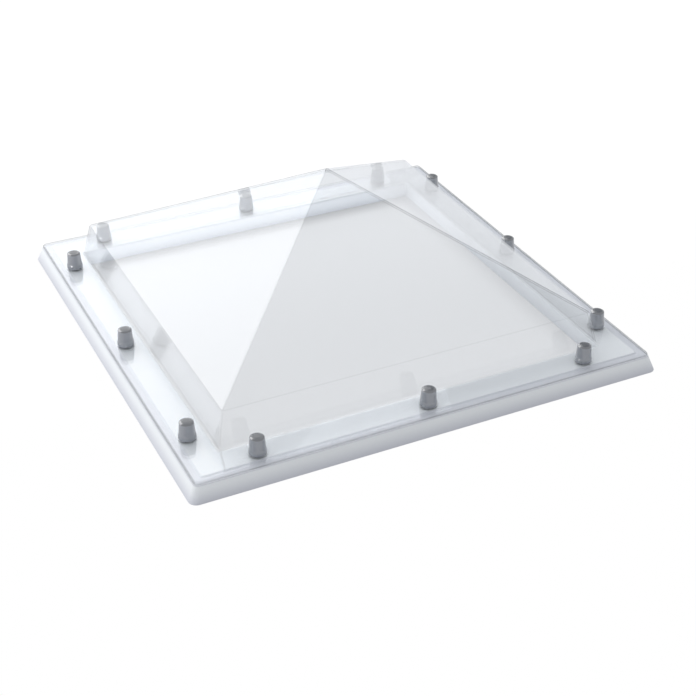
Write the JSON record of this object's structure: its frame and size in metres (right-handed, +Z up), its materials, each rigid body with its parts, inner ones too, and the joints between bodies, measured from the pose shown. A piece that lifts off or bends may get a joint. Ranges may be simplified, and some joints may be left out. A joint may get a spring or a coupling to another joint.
{
  "type": "roof skylight",
  "caption": "Fixed square roof skylight: clear one-piece pyramid dome with upstand and flange, on a white flared kerb frame, with grey covers over the fixing screws",
  "frame": {"origin": "plan centre of the square, at the level of the foot of the frame", "axes": "+Z up out of the roof; X and Y along the two pairs of sides; the side at -Y is the front of the picture"},
  "size_m": [0.7608, 0.7608, 0.2543],
  "materials": {
    "clear_sheet": "clear glossy thermoformed sheet",
    "white_frame": "white moulded plastic, satin",
    "grey_cap": "mid grey moulded plastic, satin",
    "cap_seat": "grey moulded plastic",
    "soft_seal": "black soft rubber",
    "steel_screw": "stainless steel"
  },
  "bodies": {
    "root": {"outer_dome": "clear_sheet", "base_frame": "white_frame", "screw_caps": "grey_cap", "cap_seats": "cap_seat", "sealing_washers": "soft_seal", "fixing_screws": "steel_screw"}
  },
  "joints": []
}
